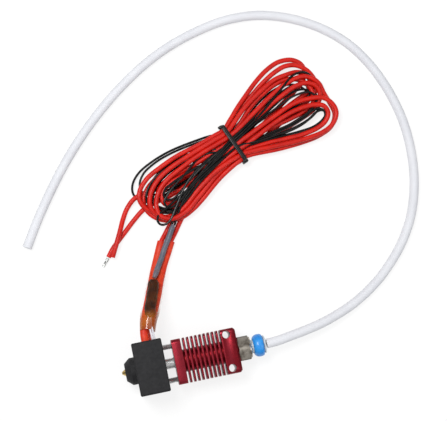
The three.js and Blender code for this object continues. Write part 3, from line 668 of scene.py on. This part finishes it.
# The turns of the four wires, in the hank's frame. Each row is one sweep of a wire from the waist
# round one end of the hank and back, and the next row goes round the other end.
RED_A = [
    [(-10, -4.6, 1.8), (0, -4.6, 2.3), (12, -1.6, 1.6), (26, 2.2, 1.2), (35, 4.2, 1.2),
     (41.6, 6.2, 1.4), (45.0, 9.8, 1.8), (45.2, 13.0, 2.2), (42.9, 16.6, 2.5), (37.6, 19.1, 2.7),
     (31.5, 19.2, 2.9), (24.8, 17.8, 3.1), (15.7, 14.7, 3.3), (10.0, 12.6, 3.6), (4.5, 10.0, 4.2),
     (0, 7.8, 4.5)],
    [(-5, 7.8, 4.6), (-12, 8.0, 4.6), (-23, 9.2, 4.2), (-31.5, 9.1, 3.8), (-39.4, 8.2, 3.4),
     (-45.0, 5.3, 3.0), (-47.1, 1.7, 2.6), (-46.4, -2.6, 2.0), (-42, -7.0, 1.5), (-34, -8.8, 1.2),
     (-24, -7.8, 1.2), (-12, -5.6, 1.6), (0, -5.9, 2.3)],
    [(12, -3.0, 1.5), (26, 0.0, 1.2), (35, 0.6, 1.2), (41.0, 0.9, 1.4), (44.3, 3.8, 2.0),
     (44.4, 7.6, 2.9), (41.4, 10.6, 3.6), (36.1, 12.3, 4.2), (30.9, 13.2, 4.5), (24.1, 12.6, 4.7),
     (13.3, 10.4, 4.9), (5, 7.3, 5.2), (0, 5.6, 5.4)],
    [(-8, 5.8, 5.4), (-17.6, 6.2, 5.1), (-28.1, 6.3, 4.8), (-35.8, 5, 4.6), (-41.5, 2, 4.2),
     (-44.6, -1.8, 3.6), (-45.1, -5.0, 3.0), (-43.0, -9.4, 2.3), (-38.1, -11.5, 2.2),
     (-33.8, -11.1, 3.2), (-28.9, -9.4, 4.2), (-23.6, -7.4, 5.2), (-12, -4.8, 5.8),
     (0, -5.2, 5.4)],
    [(4, -6.4, 4.6), (15.5, -11.1, 4.3), (25.9, -15.0, 4.2), (35.2, -17.3, 4.2),
     (40.9, -16.7, 4.3), (44.9, -13.6, 4.6), (45.6, -9.6, 5.0), (43.8, -5.3, 5.4),
     (39.1, -2.4, 5.6), (32, -0.2, 5.7), (18.8, -0.2, 5.8), (5, -0.9, 5.6), (0, -1.2, 5.4)],
    [(-8, -1.4, 5.2), (-17.9, -0.9, 4.9), (-26.6, 0.9, 4.7), (-33.2, 1.1, 4.4),
     (-37.4, -0.5, 4.0), (-39.2, -3.9, 3.6), (-37.4, -7.3, 3.2), (-32.6, -8.8, 3.0),
     (-24, -6.4, 3.0), (-12, -1.0, 3.2), (0, 2.4, 3.4)],
    [(8, 5.8, 3.6), (16, 9.2, 3.6), (24, 11.0, 3.6), (31, 11.4, 3.6), (37, 9.8, 3.6),
     (41.2, 5.4, 3.6), (42.2, 0.6, 3.0), (39.6, -4.8, 2.2), (34, -5.6, 1.6), (26, -4.6, 1.5),
     (14, -2.6, 2.2), (0, -1.0, 3.4)],
]
RED_B = [
    [(-10, -6.0, 2.0), (0, -6.8, 2.4), (12, -5.0, 1.7), (26, -3.2, 1.2), (36, -2.2, 1.2),
     (42.6, -0.6, 1.2), (45.3, 3.4, 1.4), (45.3, 7.5, 1.8), (44.2, 10.7, 2.4), (41.8, 13.9, 3.0),
     (37.9, 15.9, 3.3), (32.9, 16.2, 3.5), (26.2, 15.3, 3.4), (19.0, 13.5, 3.2),
     (10.0, 11.0, 3.0), (3.5, 8.2, 3.2), (0, 6.4, 3.4)],
    [(-12, 5.8, 3.2), (-23, 7.0, 2.8), (-33, 6.9, 2.4), (-41, 5.2, 2.0), (-45.6, 1.5, 1.6),
     (-46.0, -3.6, 1.2), (-42.8, -9.2, 1.2), (-36.2, -12.8, 1.4), (-30.5, -12.9, 1.8),
     (-25.0, -11.8, 2.2), (-12, -8.0, 2.9), (0, -7.0, 3.6)],
    [(4, -7.7, 3.2), (15.2, -12.3, 2.6), (26.2, -15.9, 2.0), (33.5, -17.4, 1.6),
     (40.4, -17.0, 1.3), (44.8, -13.4, 1.3), (45.7, -8.2, 1.5), (45.8, -3.2, 2.6),
     (46.2, 1.2, 3.6), (44.6, 5.1, 4.3), (41.2, 7.8, 4.8), (33.9, 8.9, 5.2), (25.1, 7.9, 5.4),
     (14.5, 5.7, 5.5), (5, 4.0, 5.6), (0, 3.7, 5.5)],
    [(-6, 3.9, 5.4), (-14.6, 4.2, 5.2), (-24.6, 3.7, 5.1), (-33.3, 2.6, 5.0), (-39.1, 0.1, 4.9),
     (-43.0, -4.1, 4.6), (-43.7, -8.0, 4.2), (-40.4, -11.6, 3.8), (-34, -12.2, 3.6),
     (-26, -10.2, 3.8), (-12, -6.6, 4.4), (0, -5.4, 5.2)],
    [(5, -5.6, 4.8), (13, -7.8, 4.5), (20.2, -10.6, 4.3), (27.2, -13.1, 4.2), (34.3, -14.4, 4.2),
     (38.8, -13.9, 4.4), (41.8, -11.7, 4.8), (42.0, -8.3, 5.2), (38.8, -5.5, 5.5),
     (30.2, -2.9, 5.6), (20.3, -2.4, 5.6), (6, -3.2, 5.3), (0, -3.4, 5.2)],
    [(-10, -4.2, 4.4), (-20, -5.6, 3.6), (-28, -6.9, 2.9), (-34.1, -7.0, 2.4), (-37.5, -5.6, 2.4),
     (-38.9, -2.2, 2.6), (-37.5, 1.2, 2.9), (-34.1, 2.6, 3.1), (-28, 2.6, 3.3), (-20, 1.8, 3.4),
     (-10, 1.4, 3.6), (0, 1.2, 3.6)],
    [(10, 2.6, 4.2), (20, 4.8, 4.7), (29, 5.8, 4.8), (36.4, 6.0, 4.7), (41.2, 4.7, 4.4),
     (44.2, 1.2, 3.8), (43.4, -3.0, 3.0), (38.6, -5.8, 2.4), (30, -6.4, 1.8), (18, -5.4, 1.4),
     (8, -2.0, 1.8), (0, 0.6, 2.3)],
]
BLACK_A = [
    [(-10, -1.6, 6.2), (0, 0.8, 6.0), (5, 1.4, 6.3), (17, 3.8, 6.4), (29.2, 7.4, 6.3),
     (38.0, 10.0, 6.0), (43.0, 8.9, 4.9), (44.9, 5.2, 3.4), (42.5, 0.5, 1.8), (34, -0.6, 0.8),
     (20, -0.6, 0.7), (10, 0.6, 1.0), (0, 2.4, 2.4)],
    [(-8, 3.0, 4.0), (-16, 3.2, 5.2), (-24, 1.0, 6.0), (-34, -1.6, 6.1), (-39.2, -4.6, 5.6),
     (-38.4, -7.6, 5.4), (-33, -7.6, 5.6), (-24, -4.6, 6.2), (-12, -2.2, 6.2), (0, -0.6, 6.0)],
    [(12, 2.6, 4.9), (24, 4.6, 3.6), (33, 5.2, 2.8), (39.4, 3.2, 2.4), (42.6, -1.8, 2.4),
     (40.4, -7.0, 2.6), (31, -9.4, 3.0), (19, -8.0, 3.6), (7, -4.6, 4.0), (0, -3.6, 4.4)],
    [(-12, 2.6, 3.6), (-24, 5.0, 3.0), (-34, 4.4, 2.6), (-40.2, 1.6, 2.2), (-42.4, -2.6, 1.8),
     (-40.6, -7.0, 1.8), (-34, -9.6, 2.6), (-24, -6.0, 3.0), (-12, -2.6, 4.6), (0, -1.8, 5.4)],
    [(5, -4.2, 4.8), (12, -6.8, 4.4), (22.2, -10.2, 3.7), (27.9, -12.0, 3.6), (33.1, -13.3, 3.6),
     (37.6, -13.2, 3.8), (40.4, -12.0, 4.0), (41.0, -9.8, 4.2), (39.6, -7.9, 4.2),
     (36.8, -7.1, 4.1), (30, -7.6, 3.8), (18.1, -6.0, 3.8), (8, -4.2, 4.2), (0, -2.8, 4.8)],
    [(-12, -3.8, 5.6), (-22, -4.8, 6.2), (-30.7, -5.9, 6.1), (-40.1, -7.1, 5.4),
     (-43.6, -7.5, 4.9), (-45.6, -9.2, 4.6), (-45.4, -11.4, 4.4), (-43.2, -12.5, 4.4),
     (-40.6, -11.9, 4.8), (-37.6, -10.1, 5.2), (-26, -3.2, 6.4), (-12, 0.4, 6.3), (0, 0.2, 5.8)],
    [(10, 0.6, 4.2), (22, -0.4, 2.2), (32, -1.4, 1.2), (39.4, -0.2, 0.9), (42.2, 4.0, 0.9),
     (40.4, 8.8, 1.2), (35.6, 11.2, 1.6), (29, 11.6, 2.0), (23, 11.0, 2.6), (17, 9.6, 2.8),
     (11, 7.4, 2.8), (5, 6.0, 2.8), (0, 5.6, 2.4)],
]
BLACK_B = [
    [(-10, -0.6, 6.0), (0, 2.0, 5.9), (12, 4.2, 5.6), (20, 6.0, 4.6), (28, 7.0, 3.2),
     (35.6, 7.0, 2.6), (41.0, 4.6, 2.4), (42.4, 0.8, 2.0), (38.6, -1.4, 1.2), (31, 0.6, 0.7),
     (21, 2.0, 0.7), (10, 2.2, 0.9), (0, 3.4, 2.2)],
    [(-6, 4.6, 3.2), (-13.3, 6, 4.2), (-24.7, 6.9, 4.4), (-34.2, 6.6, 4.4), (-40.3, 5, 4.2),
     (-44.4, 2, 3.6), (-45.8, -1.6, 2.8), (-44.4, -6.2, 2.6), (-39, -9.9, 3.0), (-30, -8.4, 4.6),
     (-20, -5.0, 5.8), (-8, -2.2, 6.2), (0, -1.4, 6.0)],
    [(12, -5.2, 4.8), (24, -8.2, 4.3), (33, -9.0, 4.2), (38.0, -8.3, 4.2), (40.7, -9.1, 4.2),
     (41.3, -11.2, 4.2), (39.6, -13.0, 4.0), (36.4, -13.3, 3.9), (30, -12.4, 3.7),
     (20.2, -9.6, 3.7), (8, -5.2, 4.2), (0, -3.2, 4.8)],
    [(-14, 5.0, 3.6), (-24, 7.8, 2.8), (-34, 7.4, 2.2), (-41.0, 4.2, 1.6), (-43.2, -0.6, 1.2),
     (-41.2, -5.4, 1.2), (-36.6, -8.6, 1.8), (-28, -7.6, 2.6), (-12, -3.6, 4.2), (0, -2.4, 5.2)],
    [(12, 1.2, 4.6), (24, 2.4, 3.6), (34.6, 2.4, 3.0), (40.6, 0.0, 2.8), (41.6, -4.0, 3.0),
     (36.6, -6.8, 3.4), (26, -7.2, 3.8), (12, -4.8, 4.0), (0, -4.0, 4.2)],
    [(-12, -1.0, 5.8), (-22, 0.2, 6.2), (-32.0, 0.3, 6.2), (-35.4, 0.0, 6.0), (-37.6, -1.7, 5.8),
     (-37.4, -4.0, 5.8), (-35.2, -5.1, 5.9), (-31, -4.4, 6.1), (-24, -2.2, 6.4), (-10, 0.2, 6.3),
     (0, 0.6, 5.9)],
    [(10, 0.0, 4.2), (22, -2.4, 2.0), (32, -3.2, 1.0), (38.4, -1.6, 0.8), (40.4, 2.4, 0.8),
     (38.6, 6.8, 1.0), (34, 9.6, 1.4), (28, 10.4, 1.8), (21, 9.6, 2.2), (14, 7.8, 2.4),
     (8, 6.0, 2.3), (0, 5.2, 1.8)],
]
# The last run of each wire, from the waist to where it leaves the hank or ends in it.
RED_A_LAST = [(-12, -0.2, 2.7), (-24, -0.1, 1.5), (-33, 0.9, 1.2), (-42, 3.8, 1.1)]
RED_B_LAST = [(-12, -2.4, 2.2), (-24, -2.9, 1.5), (-34, -2.9, 1.2), (-42, -1.8, 1.15)]
BLACK_A_LAST = [
    (-5, 8.4, 2.0), (-12, 10.4, 2.4), (-23.6, 12.8, 2.4), (-31.5, 13.3, 2.3), (-40.0, 12.5, 1.8),
    (-44.9, 10.1, 1.4), (-47.2, 7.0, 1.0), (-47.4, 3.9, 0.7), (-45.4, 0.2, 0.6), (-40, -1.9, 0.6),
    (-31, -1.9, 0.6), (-20, -1.8, 0.6), (-8, -1.4, 0.7)]
BLACK_B_LAST = [
    (-5, 7.6, 1.4), (-12, 9.7, 1.5), (-24.1, 12.1, 1.5), (-32.5, 12.5, 1.4), (-39.0, 11.3, 1.2),
    (-42.9, 8.2, 0.8), (-43.4, 4.4, 0.6), (-38.6, 0.6, 0.6), (-28, -0.9, 0.6), (-16, -0.6, 0.6),
    (-6, 0.6, 0.7)]

# The stretches outside the hank, in the part's own frame: from the sleeves and the shrunk tube to
# the hank, and from the hank to the cut ends.
LEAD_A = [(-4.5, 49.5, 1.8), (-3.6, 51.4, 1.7), (-1.6, 54.0, 1.2), (0.3, 56.4, 1.1),
          (3.0, 59.6, 1.1), (7.5, 65.0, 1.3)]
LEAD_B = [(-0.9, 48.4, 1.8), (0.4, 50.7, 1.7), (2.9, 54.0, 1.2), (5.2, 57.3, 1.1),
          (8.6, 62.0, 1.1), (12.5, 67.5, 1.4)]
TAIL_A = [(-11.3, 71.6, 2.0), (-15.1, 68.2, 1.5), (-18.0, 63.4, 1.9), (-19.9, 59.2, 2.9),
          (-21.9, 55.1, 3.35), (-23.7, 51.6, 3.1), (-25.2, 48.7, 2.6)]
TAIL_B = [(-8.5, 66.2, 1.6), (-13.3, 62.6, 1.1), (-17.5, 58.8, 1.1), (-21.7, 55.0, 1.1),
          (-24.4, 52.4, 1.1), (-26.9, 49.2, 1.1)]
THIN_LEADS = [[(3.1, 56.9, 3.9), (3.7, 58.0, 3.9), (5.4, 61.0, 4.6), (8.5, 66.0, 5.6)],
              [(2.1, 57.6, 3.9), (2.7, 58.7, 3.9), (4.6, 62.0, 4.5), (8.0, 67.2, 5.4)]]

HEATER_WIRE, THERMISTOR_WIRE = 2.1, 1.0
STEP = 1.0  # between the points of a wire while the hank settles
# The waist: half the tie's width, half the hank's width there, how much further it reaches on the
# +v side, and how fast it widens towards the lobes.
TIE_HALF, WAIST, WAIST_SHIFT, LOBE_SLOPE = 1.5, 8.4, 0.45, 0.48
WAIST_REACH = 14.0  # the stretch in u on each side of the tie where the width is held
HANK_TOP, FLOOR_GAP = 6.95, 0.05
# How much the tie lifts the lowest wires and presses down the highest, and over what length.
UNDER_TIE, OVER_TIE, TIE_PRESS = 1.15, 0.35, 3.0
# Settling: its rounds, the strength of each push, the part of a sideways move that stays in a
# round, how much more readily wires part up and down than sideways, and how far from each other
# two stretches of one wire have to be, in points, to touch.
ROUNDS, PUSH, KEPT, UPWARDS, NEIGHBOURS = 150, 1.1, 0.985, 1.8, 7
SEARCH_MARGIN, SEARCH_EVERY = 0.7, 5
# At each end of a wire the points that are held, and those over which it comes free.
HELD, COMING_FREE = 9, 8
STIFFNESS = 3.0  # how far along a wire its moves are evened out, in points


def whole_route(lead, turns, last, tail=()):
    """A wire's whole route in the hank's frame, from its lead to its tail."""
    inside = [p for turn in turns for p in turn] + list(last)
    return to_hank(lead) + inside + to_hank(tail)


def stiff(moves, freedom):
    """The moves of one wire's points, evened out along the wire as its stiffness does."""
    reach = int(3 * STIFFNESS)
    weights = np.exp(-0.5 * (np.arange(-reach, reach + 1) / STIFFNESS) ** 2)
    weights /= weights.sum()
    padded = np.pad(moves, ((reach, reach), (0, 0)), mode="edge")
    evened = np.stack([np.convolve(padded[:, axis], weights, "valid") for axis in range(3)],
                      axis=1)
    return evened * freedom[:, None]


def near_pairs(points, radius, owner, order):
    """Pairs of points that could touch, apart from neighbours along one wire."""
    tree = kdtree.KDTree(len(points))
    for i, p in enumerate(points):
        tree.insert(p, i)
    tree.balance()
    pairs = []
    for i, p in enumerate(points):
        for _, j, distance in tree.find_range(p, radius[i] + HEATER_WIRE / 2 + SEARCH_MARGIN):
            if j > i and distance < radius[i] + radius[j] + SEARCH_MARGIN:
                if owner[i] != owner[j] or abs(order[i] - order[j]) > NEIGHBOURS:
                    pairs.append((i, j))
    return np.array(pairs)


def settle(lines, radii, tail_lengths):
    """Moves the wires of the hank apart until they touch and no longer pass through each other.
    Each wire keeps its smooth line and stays near its route; its ends outside the hank are held.
    Everything here is in the hank's frame."""
    sizes = [len(line) for line in lines]
    starts = np.concatenate(([0], np.cumsum(sizes)))
    start = np.concatenate(lines)
    owner = np.repeat(np.arange(len(lines)), sizes)
    order = np.concatenate([np.arange(n) for n in sizes])
    radius = np.repeat(np.array(radii), sizes)
    freedom = np.ones(len(start))
    for first, size, tail in zip(starts, sizes, tail_lengths):
        at = np.arange(size)
        freedom[first:first + size] = np.clip((at - HELD) / COMING_FREE, 0, 1)
        if tail:
            freedom[first:first + size] *= np.clip((size - tail - at) / COMING_FREE, 0, 1)
    moves = np.zeros_like(start)
    for turn in range(ROUNDS):
        now = start + moves
        if turn % SEARCH_EVERY == 0:
            pairs = near_pairs(now, radius, owner, order)
        a, b = pairs.T
        away = now[a] - now[b]
        distance = np.maximum(np.linalg.norm(away, axis=1), 1e-3)
        room = radius[a] + radius[b]
        touching = distance < room
        a, b, away = a[touching], b[touching], away[touching]
        short = (room - distance)[touching]
        nudge = np.where(away[:, 2] >= 0, 0.01, -0.01)
        away[:, 2] = away[:, 2] * UPWARDS + nudge
        away *= (short / np.maximum(np.linalg.norm(away, axis=1), 1e-6))[:, None]
        share = (radius[b] ** 2 / (radius[a] ** 2 + radius[b] ** 2))[:, None]
        push = np.zeros_like(now)
        hits = np.zeros(len(now))
        np.add.at(push, a, away * share)
        np.add.at(push, b, -away * (1 - share))
        np.add.at(hits, a, 1)
        np.add.at(hits, b, 1)
        push /= np.sqrt(np.maximum(hits, 1.0))[:, None]
        moves += PUSH * push
        moves[:, :2] *= KEPT
        now = start + moves
        low, high, side = limits(now, radius)
        now[:, 2] = np.clip(now[:, 2], low, np.maximum(high, low))
        waist = np.abs(start[:, 0]) < WAIST_REACH
        now[waist, 1] = np.clip(now[waist, 1], -side[waist], side[waist] + WAIST_SHIFT)
        moves = now - start
        for first, size in zip(starts, sizes):
            part = slice(first, first + size)
            moves[part] = stiff(moves[part], freedom[part])
    now = start + moves
    low, high, _ = limits(now, radius)
    now[:, 2] = np.clip(now[:, 2], low, np.maximum(high, low))
    return [now[first:first + size] for first, size in zip(starts, sizes)]


def limits(points, radius):
    """How low, how high and how far to the side each point may lie: less under the tie."""
    u = np.abs(points[:, 0])
    tied = np.exp(-(u / TIE_PRESS) ** 2)
    low = radius + FLOOR_GAP + UNDER_TIE * tied
    high = HANK_TOP - radius - OVER_TIE * tied
    side = WAIST - radius + LOBE_SLOPE * np.maximum(u - TIE_HALF, 0)
    return low, high, side


ROUTES = [
    whole_route(LEAD_A, RED_A, RED_A_LAST, TAIL_A),
    whole_route(LEAD_B, RED_B, RED_B_LAST, TAIL_B),
    whole_route(THIN_LEADS[0], BLACK_A, BLACK_A_LAST),
    whole_route(THIN_LEADS[1], BLACK_B, BLACK_B_LAST),
]
# Name, diameter, length in metres and replaced nodes.
WIRES = [
    ("heater_wire_a", HEATER_WIRE, 0.80, ["heater_wire_a_lead", "heater_wire_a_tail", "wire_hank"]),
    ("heater_wire_b", HEATER_WIRE, 0.80, ["heater_wire_b_lead", "heater_wire_b_tail"]),
    ("thermistor_wire_a", THERMISTOR_WIRE, 0.75, ["thermistor_wire_a"]),
    ("thermistor_wire_b", THERMISTOR_WIRE, 0.75, ["thermistor_wire_b"]),
]
# How many points of each wire's end lie outside the hank.
TAIL_POINTS = [29, 26, 0, 0]
LINES = settle([through(route, STEP) for route in ROUTES], [wire[1] / 2 for wire in WIRES],
               TAIL_POINTS)


def stranded(part, angle):
    """A twisted bundle of fine strands that narrows towards its end."""
    return 1.0 - 0.25 * part + 0.08 * math.sin(6 * angle + 9 * part)


BARE_STRANDS = 1.3
bare_end, _ = tube("heater_wire_b_bare_end_piece", BARE_END_ROUTE, BARE_STRANDS, "tinned_copper",
                   ["heater_wire_b_bare_end"], step=0.25, sides=12,
                   shape=stranded)


def tie_band():
    """A thin strap round the waist: flat inside, with a low ridge along its outside."""
    half_wide, half_high, corner = 8.6, 3.1, 1.4
    aside, middle = 0.2, 3.95
    corner_steps = 9
    path = []
    for quarter, (v, z) in enumerate(((1, 1), (-1, 1), (-1, -1), (1, -1))):
        for t in np.linspace(0, math.pi / 2, corner_steps):
            angle = quarter * math.pi / 2 + t
            path.append((aside + v * (half_wide - corner), middle + z * (half_high - corner),
                         math.cos(angle), math.sin(angle)))
    # Across the strap, and out from its inner face.
    section = [(-0.9, 0.0), (-0.95, 0.3), (-0.8, 0.5), (-0.35, 0.56), (-0.2, 0.72), (0.2, 0.72),
               (0.35, 0.56), (0.8, 0.5), (0.95, 0.3), (0.9, 0.0)]
    vertices, faces = [], []
    for v, z, out_v, out_z in path:
        for u, thick in section:
            reach = corner + thick
            vertices.append((u, v + reach * out_v, z + reach * out_z))
    wide = len(section)
    for i in range(len(path)):
        for k in range(wide):
            a, b = i * wide, (i + 1) % len(path) * wide
            faces.append((a + k, a + (k + 1) % wide, b + (k + 1) % wide, b + k))
    corners = [from_hank([vertex])[0] for vertex in vertices]
    return closed(corners, faces)


def rounded_block(lows, highs, bevel, taper=1.0):
    """A block in the hank's frame with rounded edges, its far end in u narrowed by taper."""
    box = bmesh.new()
    bmesh.ops.create_cube(box, size=1.0)
    for vertex in box.verts:
        place = [low + (high - low) * (c + 0.5) for c, low, high in zip(vertex.co, lows, highs)]
        if vertex.co.x > 0:
            middle = (lows[2] + highs[2]) / 2
            place[2] = middle + (place[2] - middle) * taper
        vertex.co = Vector(from_hank([place])[0]) * M
    bmesh.ops.bevel(box, geom=list(box.edges), offset=bevel * M, segments=3, profile=0.5,
                    affect="EDGES", clamp_overlap=True)
    bmesh.ops.recalc_face_normals(box, faces=box.faces)
    mesh = bpy.data.meshes.new("block")
    box.to_mesh(mesh)
    box.free()
    return mesh


# The strap, the head that it runs through, and its cut end.
tie_parts = [
    put_object("hank_tie_band", tie_band(), "black_tie", "hotend", ["hank_tie"]),
    put_object("hank_tie_head", rounded_block((-1.3, -9.7, 2.2), (1.3, -8.6, 5.2), 0.35),
               "black_tie", "hotend"),
    put_object("hank_tie_cut_end", rounded_block((-1.5, 8.7, 3.0), (0.3, 9.9, 4.3), 0.3, 0.8),
               "black_tie", "hotend"),
]

# By diameter: the material, the step along the wire and the number of sides.
MAKE = {HEATER_WIRE: ("red_wire", 0.9, 14), THERMISTOR_WIRE: ("black_wire", 0.7, 10)}
for (name, size, length, nodes), line in zip(WIRES, LINES):
    material, step, sides = MAKE[size]
    fine = through(from_hank(line), step)
    wire = put_object(name + "_cord", swept(fine, size / 2, sides), material, "hotend",
                      nodes)
